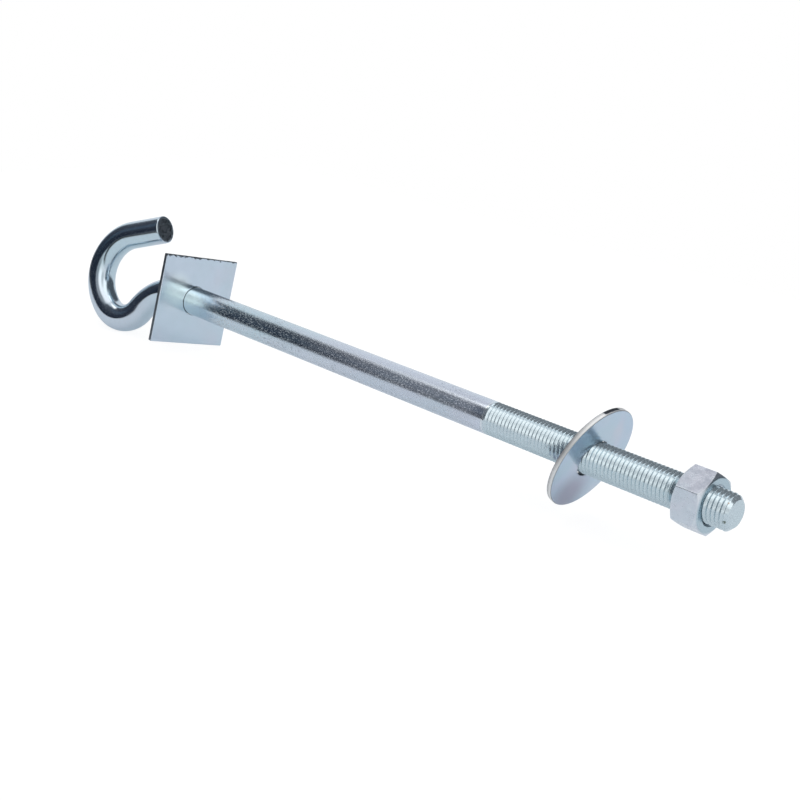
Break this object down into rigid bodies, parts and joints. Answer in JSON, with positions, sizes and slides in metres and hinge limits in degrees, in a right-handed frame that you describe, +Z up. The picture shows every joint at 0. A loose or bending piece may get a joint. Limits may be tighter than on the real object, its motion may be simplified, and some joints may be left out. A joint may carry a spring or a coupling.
{
  "type": "j bolt",
  "caption": "Rod bent into a J hook at one end and threaded at the other, with a square plate fixed before the hook, a loose wide washer and a hex nut.",
  "frame": {"origin": "centre of the square plate's bearing face, on the rod's axis", "axes": "+X along the rod towards its threaded end, +Z up with the bolt lying on the hook's heel, a corner of the plate and the washer's rim"},
  "size_m": [0.4423, 0.0586, 0.0702],
  "materials": {
    "zinc_rod": "bright zinc plate on drawn rod",
    "zinc_plate": "bright zinc plate on sheet steel",
    "zinc_washer": "bright zinc plate on sheet steel",
    "zinc_nut": "bright zinc plate"
  },
  "bodies": {
    "bolt": {"hook_bolt": "zinc_rod", "square_plate": "zinc_plate"},
    "washer": {"round_washer": "zinc_washer"},
    "nut": {"hex_nut": "zinc_nut"}
  },
  "joints": [
    {"name": "washer_travel", "type": "slide", "parent": "bolt", "child": "washer", "axis": [1, 0, 0], "range_m": [-0.104, 0.01]},
    {"name": "nut_turn", "type": "hinge", "parent": "washer", "child": "nut", "pos_m": [0.34, 0, 0], "axis": [1, 0, 0], "range_deg": [-18720, 1800]}
  ],
  "couplings": [
    {"joint": "washer_travel", "follows": "nut_turn", "m_per_rad": 0.00031831}
  ]
}
